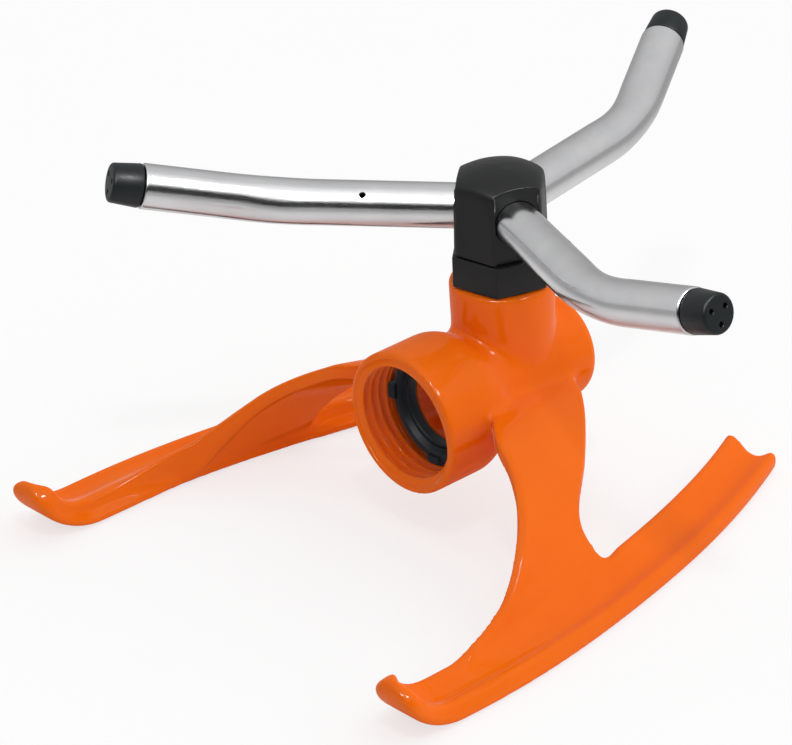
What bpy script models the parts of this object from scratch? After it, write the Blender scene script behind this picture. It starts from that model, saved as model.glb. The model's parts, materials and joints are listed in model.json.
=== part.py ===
"""Three-arm lawn sprinkler on a two-runner sled base. Metres, +Z is up, and the hose inlet faces -Y."""

from math import acos, asin, cos, degrees, pi, radians, sin, sqrt, tan

import bmesh
import bpy
from mathutils import Matrix, Vector

mm = 0.001

# Clearances: parts that touch keep a hair of room, and parts that turn keep a running gap.
SEAT_GAP = 0.3 * mm
RUNNING_GAP = 0.25 * mm

# Hose inlet: a female 3/4 inch garden hose thread, modelled as a plain bore at the thread's crests
INLET_HEIGHT = 26.0 * mm
THREAD_BORE_RADIUS = 12.55 * mm
MOUTH_CLEARANCE = 1.4 * mm
MOUTH_CHAMFER = 1.5 * mm
COLLAR_WALL = 2.1 * mm
COLLAR_TAPER = 0.05 * mm
COLLAR_FRONT = 30.4 * mm
COLLAR_FRONT_ROUND = 0.6 * mm
COLLAR_STRAIGHT = 13.2 * mm
COLLAR_SHOULDER = 4.2 * mm
WASHER_SEAT_DEPTH = 12.6 * mm

# Body behind the collar: a round cross-tube a little higher than the inlet, and the upright barrel
BODY_ABOVE_INLET = 1.8 * mm
BODY_RADIUS = 12.0 * mm
BODY_REAR = 17.4 * mm
BODY_REAR_ROUND = 3.0 * mm
BARREL_RISE = 22.1 * mm
BARREL_WALL = 3.9 * mm
BARREL_TAPER = 0.5 * mm
BARREL_RIM_ROUND = 0.9 * mm
WATERWAY_RADIUS = 7.0 * mm
WATERWAY_END = 3.5 * mm
NUT_BORE_BELOW_INLET = 1.6 * mm

# Hose washer with four locating lugs
WASHER_THICKNESS = 3.2 * mm
WASHER_WIDTH = 3.4 * mm
WASHER_LIP_INSET = 1.8 * mm
WASHER_LIP_HEIGHT = 0.9 * mm
WASHER_LUGS = 4
WASHER_LUG_TURN = 20.0
WASHER_LUG_STEP = 0.2 * mm
WASHER_LUG_HEIGHT = 0.55 * mm
WASHER_LUG_WIDTH = 3.4 * mm

# Hollow spindle that carries the rotor
SPINDLE_RADIUS = 4.6 * mm
SPINDLE_WALL = 1.4 * mm
FLANGE_WIDTH = 2.3 * mm
FLANGE_THICKNESS = 1.8 * mm
SPINDLE_GRIP = 4.8 * mm

# Washers and rings
THRUST_WASHER_THICKNESS = 0.9 * mm
NUT_RING_SECTION = 0.75 * mm
SPINDLE_RING_SECTION = 0.6 * mm

# Bearing nut, screwed into the barrel
NUT_SHANK_WALL = 2.9 * mm
NUT_SHANK_LENGTH = 9.0 * mm
NUT_OVERHANG = 0.1 * mm
NUT_HEIGHT = 7.0 * mm
NUT_TURN = -18.4
NUT_EDGE_BEVEL = 0.5 * mm

# Rotor hub: a six-sided block with a domed top, an arm socket in every other side
SOCKET_MARGIN = 0.35 * mm
SOCKET_START = 4.0 * mm
HUB_CHEEK = 0.3 * mm
HUB_EDGE_ROUND = 1.1 * mm
HUB_FOOT_SHARE = 0.975
HUB_BELOW_SOCKET = 3.9 * mm
HUB_ABOVE_SOCKET = 1.4 * mm
HUB_DOME_RADIUS = 18.0 * mm
CHAMBER_WALL = 3.15 * mm
CHAMBER_ABOVE_SOCKET = 0.6 * mm
PANEL_DEPTH = 0.45 * mm
PANEL_ABOVE_SOCKET = 3.1 * mm
PANEL_ARCH_RADIUS = 14.6 * mm

# Arms
ARM_COUNT = 3
ARM_NAMES = ("left", "front", "back")
FIRST_ARM_ANGLE = 220.0
TUBE_RADIUS = 4.75 * mm
TUBE_WALL = 0.8 * mm
TUBE_PAST_SPINDLE = 1.3 * mm
BEND_PLACE = 48.2 * mm
BEND_RADIUS = 42.0 * mm
BEND_SIDEWAYS = 19.5
BEND_UPWARDS = 14.8
BEND_STEPS = 9
OUTER_LENGTH = 30.0 * mm
SIDE_JET_PLACE = 28.8 * mm
SIDE_JET_ANGLE = 46.0
SIDE_JET_RADIUS = 0.75 * mm

# Nozzle caps
CAP_LENGTH = 6.7 * mm
CAP_STEP = 0.15 * mm
CAP_TAPER = 0.5 * mm
CAP_TIP_ROUND = 0.7 * mm
CAP_PLUG_LENGTH = 6.0 * mm
CAP_PLUG_WALL = 1.1 * mm
CAP_END_WALL = 2.0 * mm
CAP_HOLES = 3
CAP_HOLE_RADIUS = 0.6 * mm
CAP_HOLE_INSET = 1.4 * mm

# Runners: a dished bar that curves inwards to the rear and curls up at the front
RUNNER_WIDTH = 11.8 * mm
RUNNER_EDGE_ROUND = 1.3 * mm
RUNNER_CURVE_RADIUS = 262.5 * mm
RUNNER_FRONT_X = 56.6 * mm
RUNNER_CURVE_START = 67.0 * mm
RUNNER_CURL_START = 73.5 * mm
RUNNER_REAR = 41.7 * mm
CURL_RADIUS = 13.5 * mm
CURL_ANGLE = 55.0
TIP_LENGTH = 6.0 * mm
TIP_ROUND = 8.0 * mm
INNER_RIM_REAR = 6.0 * mm
INNER_RIM_FRONT = 3.3 * mm
OUTER_RIM = 4.2 * mm
TROUGH_FLOOR = 2.9 * mm
TIP_THINNING = 0.6
RUNNER_STEPS = 14
CURL_STEPS = 9

# Struts: outer face along the front edge and along the rear edge, as (sideways, forwards, up) in millimetres.
# The points were chosen for this stance and body height, and they follow a change of either.
STRUT_STANCE = 56.6
STRUT_BODY_HEIGHT = 27.8
STRUT_THICKNESS = 4.0 * mm
STRUT_EDGE_ROUND = 1.2 * mm
STRUT_DRAFT = 0.9 * mm
STRUT_CLEAR_OF_GROUND = 0.3 * mm
STRUT_FRONT_EDGE = (
    (4.0, 15.0, 29.4),
    (12.0, 17.5, 29.6),
    (18.0, 21.0, 29.6),
    (22.5, 24.4, 29.3),
    (26.3, 26.6, 28.5),
    (30.2, 28.0, 26.4),
    (34.9, 30.7, 23.6),
    (39.3, 34.4, 20.3),
    (42.9, 38.1, 16.8),
    (46.4, 43.0, 12.4),
    (48.9, 48.3, 8.2),
    (50.3, 53.6, 6.1),
    (51.2, 60.0, 4.6),
    (53.0, 66.0, 2.2),
)
STRUT_REAR_EDGE = (
    (4.0, -10.0, 28.6),
    (11.3, -8.8, 27.4),
    (15.5, -7.0, 26.3),
    (19.0, -4.6, 25.1),
    (23.0, -1.2, 23.6),
    (27.2, 3.0, 21.8),
    (31.0, 7.2, 19.7),
    (34.3, 11.4, 17.8),
    (37.2, 15.2, 15.7),
    (40.0, 17.8, 13.0),
    (43.0, 18.4, 9.6),
    (45.3, 17.6, 6.9),
    (47.4, 16.0, 4.4),
    (49.5, 13.5, 2.2),
)

ROUND_STEPS = 40
SMALL_STEPS = 24
# Turning a cutter this much keeps its corners off the edges of the piece it cuts.
QUARTER_STEP = pi / 2 / ROUND_STEPS
JOIN = 0.00001

# Radii that follow from one another, from the spindle outwards
FLANGE_RADIUS = SPINDLE_RADIUS + FLANGE_WIDTH
NUT_SHANK_RADIUS = SPINDLE_RADIUS + NUT_SHANK_WALL
SOCKET_RADIUS = TUBE_RADIUS + SOCKET_MARGIN
HUB_CORNER_RADIUS = 2 * (SOCKET_RADIUS + HUB_CHEEK)
HUB_APOTHEM = HUB_CORNER_RADIUS * cos(pi / 6)

# Heights that follow from one another, from the inlet upwards
BODY_HEIGHT = INLET_HEIGHT + BODY_ABOVE_INLET
BARREL_TOP = BODY_HEIGHT + BARREL_RISE
NUT_FOOT = BARREL_TOP + SEAT_GAP
NUT_TOP = NUT_FOOT + NUT_HEIGHT
SHANK_FOOT = NUT_FOOT - NUT_SHANK_LENGTH
FLANGE_TOP = SHANK_FOOT - THRUST_WASHER_THICKNESS - 2 * SEAT_GAP
HUB_FOOT = NUT_TOP + SEAT_GAP
WASHER_RECESS = THRUST_WASHER_THICKNESS + SEAT_GAP
SPINDLE_TOP = HUB_FOOT + WASHER_RECESS + SPINDLE_GRIP
ARM_HEIGHT = HUB_FOOT + HUB_BELOW_SOCKET + SOCKET_RADIUS
# How far a cutter reaches past the face it opens
PAST = 1.0 * mm


def new_collection(name):
    collection = bpy.data.collections.new(name)
    bpy.context.scene.collection.children.link(collection)
    return collection


def clear_scene():
    for obj in list(bpy.data.objects):
        bpy.data.objects.remove(obj, do_unlink=True)


clear_scene()
parts = new_collection("three-arm sprinkler")
cutters = new_collection("cutters")


def material(name, colour, roughness, metallic=0.0):
    made = bpy.data.materials.new(name)
    made.use_nodes = True
    shader = made.node_tree.nodes["Principled BSDF"]
    shader.inputs["Base Color"].default_value = (*colour, 1.0)
    shader.inputs["Roughness"].default_value = roughness
    shader.inputs["Metallic"].default_value = metallic
    return made


ORANGE = material("orange enamel", (0.90, 0.15, 0.015), 0.3)
BLACK = material("black plastic", (0.021, 0.022, 0.023), 0.45)
RUBBER = material("black rubber", (0.013, 0.018, 0.024), 0.6)
ALUMINIUM = material("polished aluminium", (0.78, 0.78, 0.80), 0.2, 1.0)
BRASS = material("brass", (0.72, 0.50, 0.20), 0.3, 1.0)
NYLON = material("white nylon", (0.82, 0.81, 0.77), 0.5)


def place(obj, parent, look):
    """Put a finished object among the parts, under its parent."""
    parts.objects.link(obj)
    obj.parent = parent
    obj.data.materials.append(look)
    if hasattr(obj.data, "shade_smooth"):
        obj.data.shade_smooth()
        obj.data.set_sharp_from_angle(angle=radians(35))
    return obj


def helper(obj, parent):
    """Keep an object as a tool for Booleans only."""
    cutters.objects.link(obj)
    obj.parent = parent
    obj.hide_render = True
    obj.display_type = "WIRE"
    return obj


def boolean(obj, tool, operation):
    """The Manifold solver copes with round pieces whose edges nearly meet, and every shape here is closed."""
    modifier = obj.modifiers.new(f"{operation.lower()} {tool.name}", "BOOLEAN")
    modifier.object = tool
    modifier.operation = operation
    modifier.solver = "MANIFOLD"
    return modifier


def empty(name, location, parent=None):
    made = bpy.data.objects.new(name, None)
    parts.objects.link(made)
    made.location = location
    made.parent = parent
    return made


def turned(name, profile, closed=False, steps=ROUND_STEPS):
    """A turned solid about Z from (radius, height) points, listed down the outer side."""
    mesh = bpy.data.meshes.new(name)
    points = [(radius, 0.0, height) for radius, height in profile]
    edges = [(i, i + 1) for i in range(len(points) - 1)]
    if closed:
        edges.append((len(points) - 1, 0))
    mesh.from_pydata(points, edges, [])
    obj = bpy.data.objects.new(name, mesh)
    screw = obj.modifiers.new("turn", "SCREW")
    screw.steps = screw.render_steps = steps
    screw.use_merge_vertices = True
    screw.merge_threshold = JOIN
    return obj


def ring(name, inner, outer, low, high, steps=ROUND_STEPS):
    corners = [(outer, high), (outer, low), (inner, low), (inner, high)]
    return turned(name, corners, closed=True, steps=steps)


def rod(name, radius, low, high, steps=ROUND_STEPS):
    return turned(name, [(0.0, high), (radius, high), (radius, low), (0.0, low)], steps=steps)


def arc_points(centre, radius, start, end, count):
    """Points of a circular arc in a profile plane, angles in degrees."""
    step = (end - start) / (count - 1)
    angles = [radians(start + i * step) for i in range(count)]
    return [(centre[0] + radius * cos(angle), centre[1] + radius * sin(angle)) for angle in angles]


def torus(name, major, minor):
    return turned(name, arc_points((major, 0.0), minor, 90, -225, 8), closed=True, steps=SMALL_STEPS)


def prism(name, sides, corner_radius, foot_radius, low, high):
    mesh = bpy.data.meshes.new(name)
    bm = bmesh.new()
    bmesh.ops.create_cone(
        bm, cap_ends=True, segments=sides, radius1=foot_radius, radius2=corner_radius, depth=high - low
    )
    bmesh.ops.translate(bm, verts=bm.verts, vec=(0.0, 0.0, (high + low) / 2))
    bm.to_mesh(mesh)
    bm.free()
    return bpy.data.objects.new(name, mesh)


def block(name, low, high):
    mesh = bpy.data.meshes.new(name)
    bm = bmesh.new()
    bmesh.ops.create_cube(bm, size=1.0)
    size = Vector(high) - Vector(low)
    bmesh.ops.scale(bm, verts=bm.verts, vec=size)
    bmesh.ops.translate(bm, verts=bm.verts, vec=(Vector(high) + Vector(low)) / 2)
    bm.to_mesh(mesh)
    bm.free()
    return bpy.data.objects.new(name, mesh)


def loft(name, sections):
    """A closed solid through sections that all have the same number of points."""
    mesh = bpy.data.meshes.new(name)
    bm = bmesh.new()
    rows = [[bm.verts.new(point) for point in section] for section in sections]
    for row, following in zip(rows, rows[1:]):
        for i in range(len(row)):
            j = (i + 1) % len(row)
            bm.faces.new((row[i], row[j], following[j], following[i]))
    bm.faces.new(rows[0])
    bm.faces.new(reversed(rows[-1]))
    bmesh.ops.recalc_face_normals(bm, faces=bm.faces)
    bm.to_mesh(mesh)
    bm.free()
    return bpy.data.objects.new(name, mesh)


def smooth_path(points, count):
    """A Catmull-Rom curve through the points, sampled evenly between them."""
    ends = [points[0] * 2 - points[1], *points, points[-1] * 2 - points[-2]]
    found = []
    for a, b, c, d in zip(ends, ends[1:], ends[2:], ends[3:]):
        square = 2 * a - 5 * b + 4 * c - d
        cube = 3 * b - a - 3 * c + d
        for i in range(count):
            t = i / count
            found.append(0.5 * (2 * b + (c - a) * t + square * t**2 + cube * t**3))
    found.append(points[-1])
    return found


def bevel(obj, width, segments=2, angle=30):
    modifier = obj.modifiers.new("edges", "BEVEL")
    modifier.width = width
    modifier.segments = segments
    modifier.limit_method = "ANGLE"
    modifier.angle_limit = radians(angle)
    return modifier


def mirror(obj, over):
    modifier = obj.modifiers.new("other side", "MIRROR")
    modifier.mirror_object = over
    modifier.use_mirror_merge = False
    return modifier


frame = empty("sprinkler", (0.0, 0.0, 0.0))
rotor = empty("rotor", (0.0, 0.0, ARM_HEIGHT), frame)
inlet = empty("inlet", (0.0, 0.0, INLET_HEIGHT), frame)
# The inlet's own Z axis runs forwards, out of the mouth.
inlet.rotation_euler = (radians(90), 0.0, 0.0)


# Base casting
WASHER_SEAT = COLLAR_FRONT - WASHER_SEAT_DEPTH
BORE_FOOT = INLET_HEIGHT - NUT_BORE_BELOW_INLET
MOUTH_RADIUS = THREAD_BORE_RADIUS + MOUTH_CLEARANCE
COLLAR_RADIUS = MOUTH_RADIUS + COLLAR_WALL
BARREL_RADIUS = NUT_SHANK_RADIUS + BARREL_WALL
RUNNER_ARC = RUNNER_CURVE_RADIUS * asin((RUNNER_REAR + RUNNER_CURVE_START) / RUNNER_CURVE_RADIUS)
RUNNER_FLAT = RUNNER_ARC + RUNNER_CURL_START - RUNNER_CURVE_START
RUNNER_LENGTH = RUNNER_FLAT + CURL_RADIUS * radians(CURL_ANGLE) + TIP_LENGTH


def runner_station(travelled):
    """Place, forward direction and up direction of the runner's underside, that far from the rear end."""
    if travelled < RUNNER_ARC:
        angle = (RUNNER_ARC - travelled) / RUNNER_CURVE_RADIUS
        forward = Vector((sin(angle), -cos(angle), 0.0))
        sideways = RUNNER_FRONT_X - RUNNER_CURVE_RADIUS * (1 - cos(angle))
        at = Vector((sideways, RUNNER_CURVE_RADIUS * sin(angle) - RUNNER_CURVE_START, 0.0))
        return at, forward, Vector((0.0, 0.0, 1.0))
    if travelled < RUNNER_FLAT:
        at = Vector((RUNNER_FRONT_X, RUNNER_ARC - travelled - RUNNER_CURVE_START, 0.0))
        return at, Vector((0.0, -1.0, 0.0)), Vector((0.0, 0.0, 1.0))
    angle = min((travelled - RUNNER_FLAT) / CURL_RADIUS, radians(CURL_ANGLE))
    straight = max(travelled - RUNNER_LENGTH + TIP_LENGTH, 0.0)
    forward = Vector((0.0, -cos(angle), sin(angle)))
    gone = CURL_RADIUS * sin(angle)
    at = Vector((RUNNER_FRONT_X, -RUNNER_CURL_START - gone, CURL_RADIUS * (1 - cos(angle))))
    return at + forward * straight, forward, Vector((0.0, sin(angle), cos(angle)))


def runner_section(travelled):
    """The runner's outline there: a rim at both sides and a dished top between them."""
    at, forward, up = runner_station(travelled)
    outward = up.cross(forward)
    from_tip = RUNNER_LENGTH - travelled
    full = 1.0
    if from_tip < TIP_ROUND:
        full = sqrt(max(1 - (1 - from_tip / TIP_ROUND) ** 2, 0.01))
    thin = 1.0 - TIP_THINNING * max((travelled - RUNNER_FLAT) / (RUNNER_LENGTH - RUNNER_FLAT), 0.0)
    half = RUNNER_WIDTH / 2
    edge = RUNNER_EDGE_ROUND
    inner_rim = INNER_RIM_REAR + (INNER_RIM_FRONT - INNER_RIM_REAR) * travelled / RUNNER_FLAT
    outline = (
        (-half + edge, 0.0),
        (-half + edge * 0.3, edge * 0.3),
        (-half, edge),
        (-half + 0.1 * mm, inner_rim - 0.8 * mm),
        (-half + 0.7 * mm, inner_rim),
        (-half + 1.7 * mm, inner_rim - 0.35 * mm),
        (-half + 3.6 * mm, (inner_rim + TROUGH_FLOOR) / 2),
        (0.2 * mm, TROUGH_FLOOR),
        (half - 3.2 * mm, TROUGH_FLOOR + 0.25 * mm),
        (half - 1.8 * mm, OUTER_RIM - 0.2 * mm),
        (half - 1.0 * mm, OUTER_RIM),
        (half - 0.2 * mm, OUTER_RIM - 0.8 * mm),
        (half, edge),
        (half - edge * 0.3, edge * 0.3),
        (half - edge, 0.0),
    )
    return [at + outward * (across * full) + up * (height * thin) for across, height in outline]


def make_runner():
    """Stations crowd together towards the tip, where the bar rounds off."""
    curl = RUNNER_LENGTH - RUNNER_FLAT
    stations = [RUNNER_FLAT * i / RUNNER_STEPS for i in range(RUNNER_STEPS)]
    stations += [RUNNER_FLAT + curl * sin(pi / 2 * i / CURL_STEPS) for i in range(CURL_STEPS + 1)]
    return loft("runner", [runner_section(travelled) for travelled in stations])


def make_strut():
    """The arched leg: outer face between the two edge curves, thickened inwards, with rounded edges."""
    def edge(points):
        wider, higher = RUNNER_FRONT_X / STRUT_STANCE, BODY_HEIGHT / STRUT_BODY_HEIGHT
        placed = [Vector((x * wider, -forwards * mm, up * higher)) for x, forwards, up in points]
        return smooth_path(placed, 2)

    front, rear = edge(STRUT_FRONT_EDGE), edge(STRUT_REAR_EDGE)
    sections = []
    for i in range(len(front)):
        before, after = max(i - 1, 0), min(i + 1, len(front) - 1)
        along = ((front[after] + rear[after]) - (front[before] + rear[before])).normalized()
        across = (rear[i] - front[i]).normalized()
        # The casting draws straight up, so its thickness is measured downwards and its edges lean in below.
        steep = max(Vector((along.x, along.y)).length, 0.55)
        lower = min(front[i].z, rear[i].z)
        depth = min(STRUT_THICKNESS / steep, lower - STRUT_CLEAR_OF_GROUND)
        width = (rear[i] - front[i]).length
        r = min(STRUT_EDGE_ROUND, depth / 2.2)
        d = STRUT_DRAFT
        outline = []
        corners = ((r, r, 180), (width - r, r, 270), (width - d - r, depth - r, 0), (d + r, depth - r, 90))
        for corner_x, corner_y, start in corners:
            outline += arc_points((corner_x, corner_y), r, start, start + 90, 3)
        sections.append([front[i] + across * x - Vector((0.0, 0.0, y)) for x, y in outline])
    return loft("strut", sections)


def make_base():
    rim_centre = (BARREL_RADIUS - BARREL_RIM_ROUND, BARREL_TOP - BARREL_RIM_ROUND)
    rim = arc_points(rim_centre, BARREL_RIM_ROUND, 90, 0, 3)
    foot = [(BARREL_RADIUS - BARREL_TAPER, BODY_HEIGHT), (0.0, BODY_HEIGHT)]
    barrel = turned("base_casting", [(0.0, BARREL_TOP), *rim, *foot])
    place(barrel, frame, ORANGE)

    shoulder_start = COLLAR_FRONT - COLLAR_STRAIGHT
    front_centre = (COLLAR_RADIUS - COLLAR_FRONT_ROUND, COLLAR_FRONT - COLLAR_FRONT_ROUND)
    front_round = arc_points(front_centre, COLLAR_FRONT_ROUND, 90, 0, 3)
    shoulder_centre = (COLLAR_RADIUS - COLLAR_TAPER - COLLAR_SHOULDER, shoulder_start)
    shoulder = arc_points(shoulder_centre, COLLAR_SHOULDER, 0, -70, 5)
    collar = turned("collar", [(0.0, COLLAR_FRONT), *front_round, *shoulder, (0.0, shoulder[-1][1])])
    rear_centre = (BODY_RADIUS - BODY_REAR_ROUND, -BODY_REAR + BODY_REAR_ROUND)
    rear_round = arc_points(rear_centre, BODY_REAR_ROUND, 0, -90, 5)
    front_edge = [(0.0, shoulder_start), (BODY_RADIUS, shoulder_start)]
    body = turned("cross tube", [*front_edge, *rear_round, (0.0, -BODY_REAR)])
    for shape in (body, collar):
        boolean(barrel, helper(shape, inlet), "UNION")
    body.location.y = BODY_HEIGHT - INLET_HEIGHT

    for shape in (make_strut(), make_runner()):
        mirror(shape, frame)
        boolean(barrel, helper(shape, frame), "UNION")

    mouth = turned(
        "mouth",
        [
            (0.0, COLLAR_FRONT + PAST),
            (MOUTH_RADIUS, COLLAR_FRONT + PAST),
            (MOUTH_RADIUS, COLLAR_FRONT),
            (THREAD_BORE_RADIUS, COLLAR_FRONT - MOUTH_CHAMFER),
            (THREAD_BORE_RADIUS, WASHER_SEAT),
            (0.0, WASHER_SEAT),
        ],
    )
    waterway = rod("waterway", WATERWAY_RADIUS, -WATERWAY_END, WASHER_SEAT + PAST)
    nut_bore = rod("nut bore", NUT_SHANK_RADIUS + SEAT_GAP, BORE_FOOT, BARREL_TOP + PAST)
    ring_groove = rod(
        "ring groove",
        NUT_SHANK_RADIUS + 2 * NUT_RING_SECTION + 2 * SEAT_GAP,
        BARREL_TOP - 2 * NUT_RING_SECTION - SEAT_GAP,
        BARREL_TOP + PAST,
    )
    for shape, parent in ((mouth, inlet), (waterway, inlet), (nut_bore, frame), (ring_groove, frame)):
        boolean(barrel, helper(shape, parent), "DIFFERENCE")
        shape.rotation_euler = (0.0, 0.0, QUARTER_STEP)


def make_hose_washer():
    back = WASHER_SEAT + SEAT_GAP
    front = back + WASHER_THICKNESS
    outer = THREAD_BORE_RADIUS - SEAT_GAP - WASHER_LUG_HEIGHT
    hole, lip = outer - WASHER_WIDTH, outer - WASHER_LIP_INSET
    washer = turned(
        "hose_washer",
        [
            (outer, front),
            (outer, back),
            (hole, back),
            (hole, front - WASHER_LIP_HEIGHT),
            (lip, front - WASHER_LIP_HEIGHT),
            (lip + WASHER_LIP_HEIGHT, front),
        ],
        closed=True,
    )
    place(washer, inlet, RUBBER)
    for i in range(WASHER_LUGS):
        turn = radians(WASHER_LUG_TURN + i * 360 / WASHER_LUGS)
        lug = block(
            f"washer lug {i + 1}",
            (outer - WASHER_LUG_HEIGHT, -WASHER_LUG_WIDTH / 2, back + WASHER_LUG_STEP),
            (outer + WASHER_LUG_HEIGHT - 0.1 * mm, WASHER_LUG_WIDTH / 2, front - 2 * WASHER_LUG_STEP),
        )
        helper(lug, inlet)
        lug.rotation_euler = (0.0, 0.0, turn)
        boolean(washer, lug, "UNION")


# Bearing: nut, spindle, washers and rings


def make_bearing():
    corner = NUT_SHANK_RADIUS + BARREL_WALL + NUT_OVERHANG
    nut = prism("bearing_nut", 6, corner, corner, NUT_FOOT, NUT_TOP)
    place(nut, frame, BLACK)
    nut.rotation_euler = (0.0, 0.0, radians(NUT_TURN))
    bevel(nut, NUT_EDGE_BEVEL)
    shank = rod("nut shank", NUT_SHANK_RADIUS, SHANK_FOOT, NUT_FOOT + PAST)
    boolean(nut, helper(shank, frame), "UNION")
    bore = rod("nut spindle bore", SPINDLE_RADIUS + RUNNING_GAP, SHANK_FOOT - PAST, NUT_TOP + PAST)
    boolean(nut, helper(bore, frame), "DIFFERENCE")
    seal_room = rod(
        "spindle ring room",
        SPINDLE_RADIUS + 2 * SPINDLE_RING_SECTION + 2 * SEAT_GAP,
        SHANK_FOOT - PAST,
        SHANK_FOOT + 2 * SPINDLE_RING_SECTION + SEAT_GAP,
    )
    boolean(nut, helper(seal_room, frame), "DIFFERENCE")

    nut_ring = torus("nut_o_ring", NUT_SHANK_RADIUS + SEAT_GAP + NUT_RING_SECTION, NUT_RING_SECTION)
    place(nut_ring, frame, RUBBER).location.z = NUT_FOOT - SEAT_GAP - NUT_RING_SECTION

    ring_radius = SPINDLE_RADIUS + SEAT_GAP + SPINDLE_RING_SECTION
    spindle_ring = torus("spindle_o_ring", ring_radius, SPINDLE_RING_SECTION)
    place(spindle_ring, frame, RUBBER).location.z = SHANK_FOOT + SPINDLE_RING_SECTION

    washer_hole = SPINDLE_RADIUS + RUNNING_GAP
    lower = ring("lower_thrust_washer", washer_hole, FLANGE_RADIUS, 0.0, THRUST_WASHER_THICKNESS)
    place(lower, frame, NYLON).location.z = FLANGE_TOP + SEAT_GAP
    upper = ring("upper_thrust_washer", washer_hole, FLANGE_RADIUS, 0.0, THRUST_WASHER_THICKNESS)
    place(upper, frame, NYLON).location.z = NUT_TOP + SEAT_GAP

    spindle = turned(
        "spindle",
        [
            (SPINDLE_RADIUS, SPINDLE_TOP - ARM_HEIGHT),
            (SPINDLE_RADIUS, FLANGE_TOP - ARM_HEIGHT),
            (FLANGE_RADIUS, FLANGE_TOP - ARM_HEIGHT),
            (FLANGE_RADIUS, FLANGE_TOP - FLANGE_THICKNESS - ARM_HEIGHT),
            (SPINDLE_RADIUS - SPINDLE_WALL, FLANGE_TOP - FLANGE_THICKNESS - ARM_HEIGHT),
            (SPINDLE_RADIUS - SPINDLE_WALL, SPINDLE_TOP - ARM_HEIGHT),
        ],
        closed=True,
    )
    place(spindle, rotor, BRASS)


# Rotor


def arm_turn(k):
    return radians(FIRST_ARM_ANGLE + k * 360 / ARM_COUNT)


def make_hub():
    low = HUB_FOOT - ARM_HEIGHT
    edge = SOCKET_RADIUS + HUB_ABOVE_SOCKET
    apex = edge + HUB_DOME_RADIUS - sqrt(HUB_DOME_RADIUS**2 - HUB_CORNER_RADIUS**2)
    hub = prism("hub", 6, HUB_CORNER_RADIUS, HUB_CORNER_RADIUS * HUB_FOOT_SHARE, low, apex + PAST)
    place(hub, rotor, BLACK)
    hub.rotation_euler = (0.0, 0.0, radians(FIRST_ARM_ANGLE))
    bevel(hub, HUB_EDGE_ROUND, 3).use_clamp_overlap = False

    past_corner = 90 - degrees(asin(HUB_CORNER_RADIUS / HUB_DOME_RADIUS)) - 3
    dome_arc = arc_points((0.0, apex - HUB_DOME_RADIUS), HUB_DOME_RADIUS, 90, past_corner, 8)
    dome = turned("hub dome", [*dome_arc, (dome_arc[-1][0], low - PAST), (0.0, low - PAST)])
    boolean(hub, helper(dome, rotor), "INTERSECT")

    bore = rod("hub spindle bore", SPINDLE_RADIUS + SEAT_GAP, low - PAST, 0.0)
    reach = SOCKET_RADIUS + CHAMBER_ABOVE_SOCKET
    chamber = rod("hub chamber", HUB_APOTHEM - CHAMBER_WALL, -reach, reach)
    recess = rod("hub washer recess", FLANGE_RADIUS + 2 * SEAT_GAP, low - PAST, low + WASHER_RECESS)
    for shape in (bore, chamber, recess):
        boolean(hub, helper(shape, rotor), "DIFFERENCE")
        shape.rotation_euler = (0.0, 0.0, QUARTER_STEP)

    for k in range(ARM_COUNT):
        socket = rod(f"arm socket {k + 1}", SOCKET_RADIUS, SOCKET_START, HUB_CORNER_RADIUS)
        panel_floor = HUB_APOTHEM - PANEL_DEPTH
        panel = rod(f"arm panel {k + 1}", PANEL_ARCH_RADIUS, panel_floor, HUB_CORNER_RADIUS + PAST)
        for shape in (socket, panel):
            helper(shape, rotor)
            shape.rotation_euler = (0.0, pi / 2, arm_turn(k))
            boolean(hub, shape, "DIFFERENCE")
        # The arch's circle is larger than the side it cuts, so its centre sits low.
        panel.location.z = SOCKET_RADIUS + PANEL_ABOVE_SOCKET - PANEL_ARCH_RADIUS


def arm_path(k):
    """Centreline of an arm's tube and the direction of its end, in the rotor's frame."""
    turn = arm_turn(k)
    first = Vector((cos(turn), sin(turn), 0.0))
    swung, raised = turn + radians(BEND_SIDEWAYS), radians(BEND_UPWARDS)
    last = Vector((cos(swung) * cos(raised), sin(swung) * cos(raised), sin(raised)))
    bend = acos(first.dot(last))
    reach = BEND_RADIUS * tan(bend / 2)
    inner = (last - first * first.dot(last)).normalized()
    start = first * (BEND_PLACE - reach)
    points = [first * (SPINDLE_RADIUS + TUBE_PAST_SPINDLE)]
    for i in range(BEND_STEPS + 1):
        angle = bend * i / BEND_STEPS
        points.append(start + (first * sin(angle) + inner * (1 - cos(angle))) * BEND_RADIUS)
    points.append(first * BEND_PLACE + last * OUTER_LENGTH)
    return points, last


def swept(name, points, radius, resolution):
    """A round bar along the points, made a mesh so that Booleans can use it."""
    curve = bpy.data.curves.new(name, "CURVE")
    curve.dimensions = "3D"
    curve.bevel_depth = radius
    curve.bevel_resolution = resolution
    curve.use_fill_caps = True
    spline = curve.splines.new("POLY")
    spline.points.add(len(points) - 1)
    for point, at in zip(spline.points, points):
        point.co = (*at, 1.0)
    drawn = bpy.data.objects.new(f"{name} curve", curve)
    bpy.context.scene.collection.objects.link(drawn)
    bpy.context.view_layer.update()
    mesh = bpy.data.meshes.new_from_object(drawn.evaluated_get(bpy.context.evaluated_depsgraph_get()))
    bpy.data.objects.remove(drawn, do_unlink=True)
    bm = bmesh.new()
    bm.from_mesh(mesh)
    bmesh.ops.remove_doubles(bm, verts=bm.verts, dist=JOIN)
    bmesh.ops.recalc_face_normals(bm, faces=bm.faces)
    bm.to_mesh(mesh)
    bm.free()
    return bpy.data.objects.new(name, mesh)


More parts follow.
